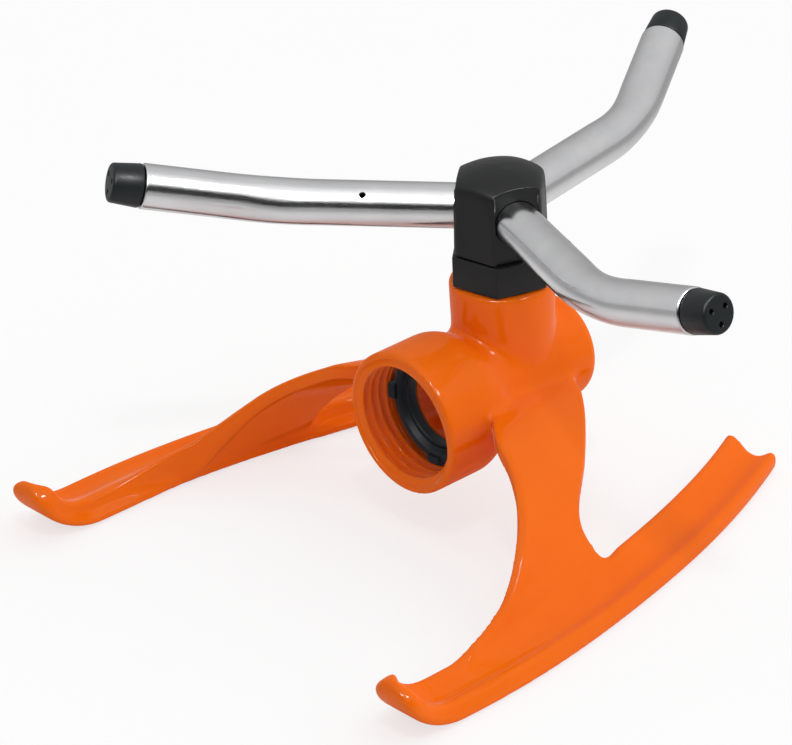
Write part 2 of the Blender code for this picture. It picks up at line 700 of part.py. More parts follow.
def make_arm(k):
    name = ARM_NAMES[k]
    points, end_direction = arm_path(k)
    tube = swept(f"arm_tube_{name}", points, TUBE_RADIUS, 6)
    place(tube, rotor, ALUMINIUM)
    lead = (points[1] - points[0]).normalized() * PAST
    bored = [points[0] - lead, *points[1:-1], points[-1] + end_direction * PAST]
    bore = swept(f"tube bore {k + 1}", bored, TUBE_RADIUS - TUBE_WALL, 4)
    boolean(tube, helper(bore, rotor), "DIFFERENCE")
    jet = rod(f"side jet {k + 1}", SIDE_JET_RADIUS, 0.0, 2 * TUBE_RADIUS, steps=12)
    turn = arm_turn(k)
    helper(jet, rotor)
    jet.rotation_euler = (radians(SIDE_JET_ANGLE - 90), 0.0, turn)
    jet.location = (SIDE_JET_PLACE * cos(turn), SIDE_JET_PLACE * sin(turn), 0.0)
    boolean(tube, jet, "DIFFERENCE")

    make_cap(k, points[-1], end_direction)


def make_cap(k, seat, direction):
    plug_radius = TUBE_RADIUS - TUBE_WALL - SEAT_GAP
    cavity = plug_radius - CAP_PLUG_WALL
    base_radius = TUBE_RADIUS - CAP_STEP
    tip_centre = (base_radius - CAP_TAPER - CAP_TIP_ROUND, CAP_LENGTH - CAP_TIP_ROUND)
    tip_round = arc_points(tip_centre, CAP_TIP_ROUND, 90, 0, 4)
    cap = turned(
        f"nozzle_cap_{ARM_NAMES[k]}",
        [
            (0.0, CAP_LENGTH),
            *tip_round,
            (base_radius, SEAT_GAP),
            (plug_radius, SEAT_GAP),
            (plug_radius, -CAP_PLUG_LENGTH),
            (cavity, -CAP_PLUG_LENGTH),
            (cavity, CAP_LENGTH - CAP_END_WALL),
            (0.0, CAP_LENGTH - CAP_END_WALL),
        ],
        steps=SMALL_STEPS,
    )
    place(cap, rotor, BLACK)
    facing = direction.to_track_quat("Z", "Y")
    cap.location = seat
    cap.rotation_euler = facing.to_euler()
    for i in range(CAP_HOLES):
        turn = 2 * pi * i / CAP_HOLES - pi / 2
        low, high = CAP_LENGTH - CAP_END_WALL - PAST, CAP_LENGTH + PAST
        hole = rod(f"cap {k + 1} hole {i + 1}", CAP_HOLE_RADIUS, low, high, steps=10)
        helper(hole, rotor)
        offset = Vector((cos(turn), sin(turn), 0.0)) * (plug_radius - CAP_HOLE_INSET)
        hole.location = seat + facing @ offset
        hole.rotation_euler = facing.to_euler()
        boolean(cap, hole, "DIFFERENCE")


make_base()
make_hose_washer()
make_bearing()
make_hub()
for arm in range(ARM_COUNT):
    make_arm(arm)


def centre_on_box():
    """Move the whole sprinkler so that its box is centred over the origin and stands on Z = 0."""
    bpy.context.view_layer.update()
    graph = bpy.context.evaluated_depsgraph_get()
    points = []
    for obj in parts.objects:
        if obj.type == "MESH":
            evaluated = obj.evaluated_get(graph)
            points += [evaluated.matrix_world @ vertex.co for vertex in evaluated.to_mesh().vertices]
            evaluated.to_mesh_clear()
    low = Vector(map(min, zip(*points)))
    high = Vector(map(max, zip(*points)))
    frame.location = (-(low.x + high.x) / 2, -(low.y + high.y) / 2, -low.z)


centre_on_box()
print("rotor axis at", [round(value / mm, 3) for value in frame.location])
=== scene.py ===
import json
from math import acos, asin, atan2, cos, degrees, pi, radians, sin, sqrt, tan

import bmesh
import bpy
from mathutils import Matrix, Vector


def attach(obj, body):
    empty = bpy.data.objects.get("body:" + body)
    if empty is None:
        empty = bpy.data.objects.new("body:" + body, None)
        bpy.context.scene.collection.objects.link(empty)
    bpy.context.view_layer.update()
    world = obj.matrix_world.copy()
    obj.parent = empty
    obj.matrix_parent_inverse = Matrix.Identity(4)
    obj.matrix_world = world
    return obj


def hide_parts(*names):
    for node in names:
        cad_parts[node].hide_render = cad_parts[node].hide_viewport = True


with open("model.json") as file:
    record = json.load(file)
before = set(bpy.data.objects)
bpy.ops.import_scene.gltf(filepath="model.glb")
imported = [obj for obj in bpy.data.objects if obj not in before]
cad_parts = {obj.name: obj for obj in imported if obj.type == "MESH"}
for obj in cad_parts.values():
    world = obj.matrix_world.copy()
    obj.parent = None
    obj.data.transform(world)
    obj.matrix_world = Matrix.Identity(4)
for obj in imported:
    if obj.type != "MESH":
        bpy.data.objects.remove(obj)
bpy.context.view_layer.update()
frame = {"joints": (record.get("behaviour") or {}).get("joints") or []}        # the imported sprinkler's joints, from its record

scene = bpy.context.scene

# Everything is modelled in millimetres round the rotor's axis, standing on Z = 0,
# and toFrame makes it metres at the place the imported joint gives.
jointPlace = Vector(frame["joints"][0]["pos_m"])
armHeight = jointPlace.z * 1000
toFrame = Matrix.Translation((jointPlace.x, jointPlace.y, 0.0)) @ Matrix.Scale(0.001, 4)
touching = 0.0005        # points closer than this are merged
clear = 1.0        # how far a cutter reaches past what it cuts


# Camera

view = {
    "azimuth": 47.94, "elevation": 28.05, "roll": -2.13, "distance": 992.38,
    "aimAcross": -16.11, "aimUp": 27.51, "lens": 209.15, "shift": (-0.04265, -0.001), "clip": (0.05, 20.0),
}


def makeCamera():
    across, above, roll = (radians(view[name]) for name in ("azimuth", "elevation", "roll"))
    back = Vector((sin(across) * cos(above), -cos(across) * cos(above), sin(above)))
    level = Vector((cos(across), sin(across), 0.0))
    upright = back.cross(level)
    right = level * cos(roll) + upright * sin(roll)
    up = upright * cos(roll) - level * sin(roll)
    place = level * view["aimAcross"] + Vector((0.0, 0.0, view["aimUp"])) + back * view["distance"]
    lens = bpy.data.cameras.new("camera")
    lens.lens = view["lens"]
    lens.shift_x, lens.shift_y = view["shift"]
    lens.clip_start, lens.clip_end = view["clip"]
    camera = bpy.data.objects.new("camera", lens)
    turn = Matrix((right, up, back)).transposed().to_4x4()
    camera.matrix_world = Matrix.Translation(toFrame @ place) @ turn
    scene.collection.objects.link(camera)
    scene.camera = camera


makeCamera()
print("camera placed")


# Shader helpers: sums and products of wires add Math nodes

class Wire:
    def __init__(self, look, socket):
        self.look = look
        self.socket = socket

    def __add__(self, other):
        return self.look.math("ADD", self, other)

    def __sub__(self, other):
        return self.look.math("SUBTRACT", self, other)

    def __rsub__(self, other):
        return self.look.math("SUBTRACT", other, self)

    def __mul__(self, other):
        return self.look.math("MULTIPLY", self, other)

    __radd__ = __add__
    __rmul__ = __mul__


class Look:
    def __init__(self, name, holder=None):
        self.holder = holder or bpy.data.materials.new(name)
        self.holder.use_nodes = True
        self.tree = self.holder.node_tree
        self.shader = self.tree.nodes.get("Principled BSDF")

    def node(self, kind, settings=None, sockets=None, out=0):
        made = self.tree.nodes.new(kind)
        for name, value in (settings or {}).items():
            setattr(made, name, value)
        for name, value in (sockets or {}).items():
            self.feed(made.inputs[name], value)
        return Wire(self, made.outputs[out]) if made.outputs else made

    def feed(self, socket, value):
        if isinstance(value, Wire):
            self.tree.links.new(value.socket, socket)
        else:
            socket.default_value = value

    def surface(self, **values):
        for name, value in values.items():
            self.feed(self.shader.inputs[name.replace("_", " ")], value)

    def math(self, operation, first, second=0.0):
        return self.node("ShaderNodeMath", {"operation": operation}, {0: first, 1: second})

    def place(self):
        return self.node("ShaderNodeTexCoord", out="Object")

    def ray(self, kind):
        return self.node("ShaderNodeLightPath", out=f"Is {kind} Ray")

    def stretched(self, coordinates, scale):
        return self.node("ShaderNodeVectorMath", {"operation": "MULTIPLY"}, {0: coordinates, 1: scale})

    def noise(self, coordinates, scale, detail=2.0, roughness=0.5):
        sockets = {"Vector": coordinates, "Scale": scale, "Detail": detail, "Roughness": roughness}
        return self.node("ShaderNodeTexNoise", {"noise_dimensions": "3D"}, sockets)

    def ranged(self, value, low, high, newLow, newHigh):
        sockets = {"Value": value, "From Min": low, "From Max": high, "To Min": newLow, "To Max": newHigh}
        return self.node("ShaderNodeMapRange", {"clamp": True}, sockets)

    def mottled(self, pattern, low, high, first, second):
        # from the first colour to the second as the pattern rises from low to high;
        # a Mix node's colour sockets are its seventh and eighth
        sockets = {0: self.ranged(pattern, low, high, 0.0, 1.0), 6: (*first, 1.0), 7: (*second, 1.0)}
        return self.node("ShaderNodeMix", {"data_type": "RGBA"}, sockets, out=2)

    def bump(self, height, depth, strength):
        sockets = {"Height": height, "Distance": depth, "Strength": strength}
        return self.node("ShaderNodeBump", None, sockets)


# Modelling helpers

def share(value, start, end):
    # how far value has come from start to end, from 0 to 1
    return min(max((value - start) / (end - start), 0), 1)


def eased(t):
    return t * t * (3 - 2 * t)


def between(first, second, t):
    return first + (second - first) * t


def lifted(height):
    return Matrix.Translation((0, 0, height))


def spun(angle, axis="Z"):
    return Matrix.Rotation(angle, 4, axis)


def arc(x, y, radius, start, end, count=8):
    angles = [radians(between(start, end, i / (count - 1))) for i in range(count)]
    return [(x + radius * cos(angle), y + radius * sin(angle)) for angle in angles]


def topCorner(radius, height, size, count=8):
    # the rounded upper corner of a turned profile
    return arc(radius - size, height - size, size, 90, 0, count)


def lowCorner(radius, height, size, count=8):
    return arc(radius - size, height + size, size, 0, -90, count)


def drawn(name, bm, place=None):
    # a finished bmesh becomes an object
    if place:
        bmesh.ops.transform(bm, matrix=place, verts=bm.verts)
    mesh = bpy.data.meshes.new(name)
    bm.to_mesh(mesh)
    bm.free()
    obj = bpy.data.objects.new(name, mesh)
    scene.collection.objects.link(obj)
    return obj


def closed(bm):
    bmesh.ops.remove_doubles(bm, verts=bm.verts, dist=touching)
    bmesh.ops.holes_fill(bm, edges=bm.edges, sides=0)
    bmesh.ops.recalc_face_normals(bm, faces=bm.faces)
    return bm


def turned(name, profile, steps=96, ring=False, place=None):
    # profile is (radius, height) points, spun about Z; a ring's profile runs back to its first point
    bm = bmesh.new()
    line = [bm.verts.new((radius, 0.0, height)) for radius, height in profile]
    edges = [bm.edges.new(pair) for pair in zip(line, line[1:])]
    if ring:
        edges.append(bm.edges.new((line[-1], line[0])))
    bmesh.ops.spin(
        bm, geom=line + edges, cent=(0, 0, 0), axis=(0, 0, 1), angle=2 * pi, steps=steps, use_merge=True
    )
    return drawn(name, closed(bm), place)


def bar(name, radius, low, high, steps=96, place=None):
    return turned(name, [(0, high), (radius, high), (radius, low), (0, low)], steps, place=place)


def roundEdges(bm, edges, radius, segments):
    bmesh.ops.bevel(
        bm, geom=edges, offset=radius, segments=segments, profile=0.5, affect="EDGES", material=-1
    )


def box(name, size, place, rounding=0.0):
    bm = bmesh.new()
    bmesh.ops.create_cube(bm, size=1.0)
    bmesh.ops.scale(bm, verts=bm.verts, vec=size)
    if rounding:
        roundEdges(bm, bm.edges[:], rounding, 4)
    return drawn(name, bm, place)


def sixSided(height, lowRadius, highRadius):
    bm = bmesh.new()
    bmesh.ops.create_cone(
        bm, cap_ends=True, segments=6, radius1=lowRadius, radius2=highRadius, depth=height
    )
    return bm


def gridShape(name, across, along, point, place=None, uvLength=None):
    # a grid rolled into a closed bar: point(u, row) gives the place of each of its crossings
    bm = bmesh.new()
    layer = bm.loops.layers.uv.new("along")
    bmesh.ops.create_grid(bm, x_segments=across, y_segments=along, size=0.5, calc_uvs=True)
    for face in bm.faces:
        for loop in face.loops:
            u, row = loop.vert.co.x + 0.5, round((loop.vert.co.y + 0.5) * along)
            loop[layer].uv = (u, uvLength(row) if uvLength else row / along)
    for vert in bm.verts:
        vert.co = point(vert.co.x + 0.5, round((vert.co.y + 0.5) * along))
    return drawn(name, closed(bm), place)


def skinned(name, outlines):
    # a closed bar through outlines that have equally many points
    count = len(outlines[0])
    return gridShape(name, count, len(outlines) - 1, lambda u, row: outlines[row][round(u * count) % count])


def settle(obj):
    # the modifiers become part of the mesh
    graph = bpy.context.evaluated_depsgraph_get()
    mesh = bpy.data.meshes.new_from_object(obj.evaluated_get(graph))
    obj.modifiers.clear()
    obj.data = mesh


def combine(obj, tool, operation="DIFFERENCE"):
    step = obj.modifiers.new("combine", "BOOLEAN")
    step.object, step.operation, step.solver = tool, operation, "MANIFOLD"
    settle(obj)
    bpy.data.objects.remove(tool)


def joined(name, shapes):
    bm = bmesh.new()
    for shape in shapes:
        bm.from_mesh(shape.data)
        bpy.data.objects.remove(shape)
    return drawn(name, bm)


def voxelSkin(obj, size):
    # fuses overlapping shapes into one skin
    skin = obj.modifiers.new("skin", "REMESH")
    skin.mode, skin.voxel_size = "VOXEL", size
    settle(obj)


def smoothing(obj, rounds, weights=None):
    # weights gives the points that move, and by what share
    step = obj.modifiers.new("smoothing", "SMOOTH")
    step.factor, step.iterations = 0.5, rounds
    if weights:
        group = obj.vertex_groups.new(name="moving")
        for index, weight in weights.items():
            group.add([index], weight, "REPLACE")
        step.vertex_group = group.name


def creaseWeights(mesh, depth, reach):
    # points in inward creases weigh 1, and the weight fades over a few rings of neighbours
    bm = bmesh.new()
    bm.from_mesh(mesh)
    bm.normal_update()
    weights, ring = {}, set()
    for vert in bm.verts:
        middle = sum((edge.other_vert(vert).co for edge in vert.link_edges), Vector()) / len(vert.link_edges)
        if (middle - vert.co).dot(vert.normal) > depth:
            ring.add(vert)
    for i in range(reach):
        for vert in ring:
            weights[vert.index] = 1 - i / reach
        ring = {edge.other_vert(vert) for vert in ring for edge in vert.link_edges}
        ring = {vert for vert in ring if vert.index not in weights}
    bm.free()
    return weights


def triangleCount(obj):
    return sum(len(face.vertices) - 2 for face in obj.data.polygons)


def castTogether(obj, voxel, triangles, softening, filleting=None):
    # one softened skin; filleting is (rounds, reach, least depth of a crease as a share of the voxel)
    voxelSkin(obj, voxel)
    if filleting:
        rounds, reach, depth = filleting
        smoothing(obj, rounds, creaseWeights(obj.data, voxel * depth, reach))
    smoothing(obj, softening)
    settle(obj)
    obj.vertex_groups.clear()
    now = triangleCount(obj)
    if now > triangles:
        obj.modifiers.new("thin out", "DECIMATE").ratio = triangles / now
        settle(obj)


def finished(obj, look, body, node, sharp=32):
    # into the frame, shaded, painted and tied to its body
    obj.data.transform(toFrame)
    obj.data.shade_smooth()
    obj.data.set_sharp_from_angle(angle=radians(sharp))
    obj.data.materials.clear()
    obj.data.materials.append(look)
    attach(obj, body)
    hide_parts(node)
    print(f"  {obj.name}: {triangleCount(obj)} triangles")


def curvePoints(a, b, c, d, count):
    # Catmull-Rom from b to c
    square, cube = 2 * a - 5 * b + 4 * c - d, 3 * b - a - 3 * c + d
    steps = [i / count for i in range(count)]
    return [0.5 * (2 * b + (c - a) * t + square * t**2 + cube * t**3) for t in steps]


def smoothPath(points, count):
    ends = [points[0] * 2 - points[1], *points, points[-1] * 2 - points[-2]]
    stretches = zip(ends, ends[1:], ends[2:], ends[3:])
    return [at for stretch in stretches for at in curvePoints(*stretch, count)] + [points[-1]]


def smoothLoop(points, count):
    stretches = zip(points[-1:] + points[:-1], points, points[1:] + points[:1], points[2:] + points[:2])
    return [at for stretch in stretches for at in curvePoints(*stretch, count)]


# Materials

def orangeEnamel():
    look = Look("orangeEnamel")
    at = look.place()
    cloud = look.noise(at, 45.0, 3.0)
    peel = look.noise(at, 900.0, 2.0)
    speck = look.noise(at, 260.0, 4.0, 0.6)
    look.surface(
        Base_Color=look.mottled(cloud, 0.3, 0.7, (0.90, 0.146, 0.003), (0.93, 0.158, 0.005)),
        Roughness=look.ranged(speck, 0.3, 0.7, 0.18, 0.28),
        Normal=look.bump(peel, 0.00004, 0.30),
        Specular_IOR_Level=0.0,
        Coat_Weight=0.36,
        Coat_Roughness=0.06,
    )
    return look.holder


def satinPlastic(name, base, lighter, grain=1400.0):
    look = Look(name)
    at = look.place()
    cloud = look.noise(at, 60.0, 3.0)
    fine = look.noise(at, grain, 3.0, 0.6)
    look.surface(
        Base_Color=look.mottled(cloud, 0.3, 0.7, base, lighter),
        Roughness=look.ranged(fine, 0.3, 0.7, 0.32, 0.44),
        Normal=look.bump(fine, 0.00003, 0.4),
        Specular_IOR_Level=0.3,
    )
    return look.holder


def darkRubber(name, base, lighter):
    look = Look(name)
    at = look.place()
    bloom = look.noise(at, 220.0, 4.0, 0.6)
    fine = look.noise(at, 1800.0, 2.0)
    look.surface(
        Base_Color=look.mottled(bloom, 0.35, 0.7, base, lighter),
        Roughness=look.ranged(bloom, 0.3, 0.7, 0.48, 0.62),
        Normal=look.bump(fine, 0.00003, 0.5),
        Specular_IOR_Level=0.25,
    )
    return look.holder


def drawnAluminium():
    # the streaks follow the tube: round it as a circle, and slowly along it
    look = Look("drawnAluminium")
    uv = look.node("ShaderNodeUVMap", {"uv_map": "along"})
    around, along = (look.node("ShaderNodeSeparateXYZ", None, {0: uv}, out=axis) for axis in (0, 1))
    turn = around * (2 * pi)
    sockets = {0: look.math("COSINE", turn), 1: look.math("SINE", turn), 2: along}
    streakPlace = look.node("ShaderNodeCombineXYZ", None, sockets)
    streaks = look.noise(look.stretched(streakPlace, (9.0, 9.0, 1.2)), 1.0, 4.0, 0.65)
    fine = look.noise(look.stretched(streakPlace, (60.0, 60.0, 4.0)), 1.0, 2.0)
    handling = look.noise(look.place(), 130.0, 5.0, 0.6)
    look.surface(
        Base_Color=look.mottled(handling, 0.3, 0.75, (0.76, 0.76, 0.775), (0.84, 0.84, 0.85)),
        Metallic=1.0,
        Roughness=look.ranged(streaks, 0.3, 0.7, 0.11, 0.18) + look.ranged(handling, 0.5, 0.8, 0.0, 0.05),
        Normal=look.bump(fine + streaks * 0.6, 0.00002, 0.5),
    )
    return look.holder


def turnedBrass():
    look = Look("turnedBrass")
    at = look.place()
    tarnish = look.noise(at, 300.0, 4.0, 0.6)
    rings = look.noise(look.stretched(at, (40.0, 40.0, 4000.0)), 1.0, 2.0)
    look.surface(
        Base_Color=look.mottled(tarnish, 0.3, 0.7, (0.62, 0.42, 0.16), (0.74, 0.53, 0.22)),
        Metallic=1.0,
        Roughness=look.ranged(tarnish, 0.3, 0.7, 0.24, 0.38),
        Normal=look.bump(rings, 0.00001, 0.6),
    )
    return look.holder


def paleNylon():
    look = Look("paleNylon")
    at = look.place()
    cloud = look.noise(at, 400.0, 3.0)
    look.surface(
        Base_Color=look.mottled(cloud, 0.3, 0.7, (0.76, 0.75, 0.70), (0.83, 0.82, 0.78)),
        Roughness=look.ranged(cloud, 0.3, 0.7, 0.42, 0.55),
        Normal=look.bump(look.noise(at, 2500.0, 2.0), 0.00001, 0.5),
    )
    return look.holder


enamel = orangeEnamel()
hubPlastic = satinPlastic("satinBlackPlastic", (0.008, 0.0085, 0.009), (0.012, 0.0125, 0.013))
capPlastic = satinPlastic("blueBlackPlastic", (0.009, 0.013, 0.014), (0.014, 0.019, 0.020), 1800.0)
washerRubber = darkRubber("blueBlackRubber", (0.003, 0.006, 0.010), (0.007, 0.012, 0.018))
ringRubber = darkRubber("ringRubber", (0.010, 0.010, 0.011), (0.017, 0.017, 0.018))
aluminium = drawnAluminium()
brass = turnedBrass()
nylon = paleNylon()
print("materials made")


# Base casting: collar, cross tube and barrel, two arched legs and two dished runners, fused as one skin

casting = {
    "inletHeight": 26.0, "bodyHeight": 27.8, "bodyRadius": 12.0, "bodyRear": 17.4, "bodyRearRound": 3.0,
    "barrelRadius": 11.4, "barrelTop": 49.9, "barrelTaper": 0.5, "barrelRimRound": 0.9,
    "collarRadius": 16.05, "collarFront": 30.4, "collarFrontRound": 0.6, "collarStraight": 12.6,
    "collarShoulder": 12.0, "collarNeck": 11.6, "shoulderSteps": 16,
    "nutBore": 7.8, "nutBoreFoot": 24.4, "sealGroove": 9.6, "sealGrooveDepth": 1.8,
    "steps": 128, "voxel": 0.38, "triangles": 164000, "softening": 10, "filleting": (125, 14, 0.06),
}
inletPlace = lifted(casting["inletHeight"]) @ spun(pi / 2, "X")
bodyPlace = lifted(casting["bodyHeight"]) @ spun(pi / 2, "X")

# A runner's places are distances from its rear end along its underside.
runner = {
    "width": 11.8, "edgeRound": 1.2, "tipEdgeRound": 1.7,
    "curveRadius": 253.6, "frontX": 57.8, "curveStart": 67.0, "rear": 41.7, "bow": 1.05,
    "innerFlare": 2.1, "outerFlare": 0.7, "flareFull": 50.0, "flareEdge": 0.9,
    "curlStart": 72.7, "curlLength": 22.1, "curlAngle": 88.0, "curlGrowth": 1.3,
    "tipRound": 7.2, "noseRound": 3.6, "leastShare": 0.01, "tipShapes": (-4.0, 10.0),
    "innerRims": (6.7, 6.5, 5.4), "innerRimFalls": ((0.0, 40.0), (55.0, 75.0)),
    "outerRim": 4.1, "troughFloor": 2.9, "troughFades": (62.0, 106.0), "frontHeight": 4.1, "tipHeight": 4.0,
    "flatRows": 90, "curlRows": 36, "curlSteps": 120, "pointsPerStretch": 4,
}
runner["arc"] = runner["curveRadius"] * asin((runner["rear"] + runner["curveStart"]) / runner["curveRadius"])
runner["flat"] = runner["arc"] + runner["curlStart"] - runner["curveStart"]
runner["length"] = runner["flat"] + runner["curlLength"]


def curlPlaces():
    # the underside's way up the curl, which bends ever more tightly
    at, places, steps = Vector((0, 0)), [], runner["curlSteps"]
    for i in range(steps + 1):
        angle = radians(runner["curlAngle"]) * (i / steps) ** runner["curlGrowth"]
        places.append((at.copy(), angle))
        at += Vector((cos(angle), sin(angle))) * runner["curlLength"] / steps
    return places


curl = curlPlaces()


def runnerStation(travelled):
    # place, forward and up directions of the underside, that far from the rear end
    toFront, upright = runner["arc"] - travelled, Vector((0, 0, 1))
    if travelled < runner["arc"]:
        angle = toFront / runner["curveRadius"]
        sideways = runner["frontX"] - runner["curveRadius"] * (1 - cos(angle))
        sideways -= runner["bow"] * sin(pi * travelled / runner["arc"]) ** 2
        at = Vector((sideways, runner["curveRadius"] * sin(angle) - runner["curveStart"], 0))
        return at, Vector((sin(angle), -cos(angle), 0)), upright
    if travelled < runner["flat"]:
        return Vector((runner["frontX"], toFront - runner["curveStart"], 0)), Vector((0, -1, 0)), upright
    step = (travelled - runner["flat"]) / runner["curlLength"] * (len(curl) - 1)
    before = min(int(step), len(curl) - 2)
    (first, firstAngle), (second, secondAngle) = curl[before], curl[before + 1]
    gone, risen = first.lerp(second, step - before)
    angle = between(firstAngle, secondAngle, step - before)
    at = Vector((runner["frontX"], -runner["curlStart"] - gone, risen))
    return at, Vector((0, -cos(angle), sin(angle))), Vector((0, sin(angle), cos(angle)))


def roundedOff(fromEnd, radius):
    # what share of the full size is left, so near a rounded end
    return sqrt(max(1 - max(1 - fromEnd / radius, 0) ** 2, runner["leastShare"]))


def runnerOutline(travelled):
    # a trough between two broad rims, shallower from the leg to the rounded tip, on a wider foot
    at, forward, up = runnerStation(travelled)
    outward = up.cross(forward)
    fromTip = max(runner["length"] - travelled, 0)
    full, nose = (roundedOff(fromTip, runner[name]) for name in ("tipRound", "noseRound"))
    atTip = share(travelled, *(runner["flat"] + shift for shift in runner["tipShapes"]))
    edge = between(runner["edgeRound"], runner["tipEdgeRound"], atTip)
    high = between(runner["frontHeight"], runner["tipHeight"], atTip)

    rearRim, middleRim, frontRim = runner["innerRims"]
    firstFall, secondFall = (share(travelled, *places) for places in runner["innerRimFalls"])
    inner = between(between(rearRim, middleRim, firstFall), frontRim, secondFall)
    half, low, outer = runner["width"] / 2, runner["troughFloor"], runner["outerRim"]
    trough = (
        (-half, inner - 2.8), (-half + 0.3, inner - 1.1), (-half + 1.1, inner - 0.1),
        (-half + 2.1, inner - 0.1), (-half + 3.4, inner - 1.2), (-half + 5.0, low + 1.1),
        (half - 4.7, low + 0.15), (half - 3.7, low + 0.05), (half - 2.2, outer - 0.5),
        (half - 0.9, outer - 0.1), (half + 0.1, outer - 1.3),
    )
    shallow = (
        (-half, high - 1.1), (-half + 0.4, high + 0.3), (-half + 1.3, high + 1.1),
        (-half + 2.6, high + 0.8), (-half + 4.2, high + 0.1), (0.3, high - 0.5),
        (half - 3.8, high - 0.6), (half - 2.9, high - 0.3), (half - 1.8, high),
        (half - 0.7, high - 0.4), (half + 0.1, high - 1.8),
    )
    fade = eased(share(travelled, *runner["troughFades"]))
    top = [Vector(a).lerp(Vector(b), fade) for a, b in zip(trough, shallow)]

    flare = eased(share(travelled, 0, runner["flareFull"]) * share(fromTip, 0, runner["curlLength"]))
    innerFoot, outerFoot = half + runner["innerFlare"] * flare, half + runner["outerFlare"] * flare
    under = (
        (outerFoot - 0.1, edge * 0.35), (outerFoot - edge, 0), (half * 0.4, 0), (-half * 0.4, 0),
        (edge - innerFoot, 0), (0.1 - innerFoot, runner["flareEdge"]),
    )
    outline = smoothLoop(top + [Vector(corner) for corner in under], runner["pointsPerStretch"])
    middle = high / 2
    return [
        at + outward * (point.x * full) + up * between(middle, max(point.y, 0), nose) for point in outline
    ]


def makeRunner():
    flatRows, curlRows = runner["flatRows"], runner["curlRows"]
    rows = [runner["flat"] * i / flatRows for i in range(flatRows)]
    rows += [runner["flat"] + runner["curlLength"] * sin(pi / 2 * i / curlRows) for i in range(curlRows + 1)]
    return skinned("runner", [runnerOutline(travelled) for travelled in rows])


# The leg's outer face lies between these edges, as (sideways, forwards, up, drop of the edge).
# The casting draws straight up, so its walls drop straight down from there.
leg = {
    "clearOfGround": 0.3, "proud": 0.25, "land": 1.9, "landFall": 0.45,
    "pointsPerStretch": 6, "pointsAcross": 8,
    "frontEdge": (
        (4.0, 15.0, 29.4, 3.4), (12.0, 17.5, 29.6, 3.4), (18.0, 21.0, 29.6, 3.4), (22.5, 24.4, 29.3, 3.4),
        (26.3, 26.6, 28.5, 3.3), (30.2, 28.0, 26.4, 3.2), (34.9, 30.7, 23.6, 3.3), (39.3, 34.4, 20.3, 3.7),
        (42.6, 38.1, 16.8, 4.4), (45.9, 43.0, 12.8, 6.4), (48.5, 48.3, 9.6, 8.7), (50.3, 53.6, 8.1, 7.4),
        (51.4, 59.0, 6.9, 6.1), (52.3, 64.5, 5.5, 4.8), (53.6, 70.0, 4.2, 3.5), (55.4, 75.0, 3.0, 2.4),
    ),
    "rearEdge": (
        (4.0, -10.0, 28.6, 3.0), (11.3, -9.0, 27.4, 3.6), (15.5, -7.4, 26.3, 4.5), (19.0, -5.1, 25.1, 4.7),
        (23.0, -1.7, 23.8, 4.4), (27.2, 2.5, 22.0, 3.7), (31.0, 6.6, 20.1, 3.3), (34.3, 10.7, 18.6, 3.3),
        (37.2, 14.4, 16.4, 3.6), (40.0, 17.0, 13.5, 3.8), (42.2, 17.7, 10.8, 4.2), (44.2, 17.4, 8.6, 4.8),
        (45.8, 16.5, 6.8, 5.0), (47.2, 15.2, 5.0, 3.6), (48.4, 13.8, 3.6, 3.0), (50.0, 12.0, 2.4, 1.8),
    ),
}


def legEdge(name):
    points = [Vector((x, -forwards, up + leg["proud"], drop)) for x, forwards, up, drop in leg[name]]
    return smoothPath(points, leg["pointsPerStretch"])


def makeLeg():
    front, rear = legEdge("frontEdge"), legEdge("rearEdge")
    outlines, across = [], leg["pointsAcross"]
    for i, (start, end) in enumerate(zip(front, rear)):
        # a land along the front edge keeps the wall thick where the outer face is steep
        along = (front[min(i + 1, len(front) - 1)] - front[max(i - 1, 0)]).to_2d().normalized()
        shoulder = start + Vector((-along.y * leg["land"], along.x * leg["land"], -leg["landFall"], 0))
        face = [shoulder.lerp(end, j / across) for j in range(across + 1)]
        top = [start, start.lerp(shoulder, 0.5), *face]
        low = [Vector((at.x, at.y, max(at.z - at.w, leg["clearOfGround"]))) for at in reversed(top)]
        outlines.append([at.xyz for at in top] + low)
    return skinned("leg", outlines)


def mirrored(shape):
    bm = bmesh.new()
    bm.from_mesh(shape.data)
    bmesh.ops.scale(bm, verts=bm.verts, vec=(-1, 1, 1))
    bmesh.ops.reverse_faces(bm, faces=bm.faces)
    return drawn(f"{shape.name} other side", bm)


# The inlet's bore: its depth runs inwards from the collar's rim.
bore = {
    "mouth": 14.6, "rimRound": 0.5, "rimRows": 4, "opening": 0.6,
    "threadRoot": 14.1, "threadCrest": 12.9, "pitch": 2.2, "crestRises": (0.12, 0.92),
    "threadEnd": 9.7, "fade": 0.5, "seat": 12.6, "across": 144, "rowsPerMm": 6,
    "waterway": 8.2, "waterwayEnd": -3.5,
}


def boreRadius(u, depth):
    # a rounded thread, cut deepest between the crests
    rim, end = bore["rimRound"], bore["threadEnd"]
    if depth < rim:
        lean = 1 - max(depth, 0) / rim
        return bore["mouth"] + rim * (1 - sqrt(max(1 - lean * lean, 0)))
    wave = 0.5 + 0.5 * cos(2 * pi * (depth / bore["pitch"] - u))
    crest = eased(share(wave, *bore["crestRises"])) * share(depth, end, end - bore["fade"])
    root = between(bore["threadRoot"], bore["mouth"], share(depth, rim + bore["opening"], rim))
    return between(root, bore["threadCrest"], crest)


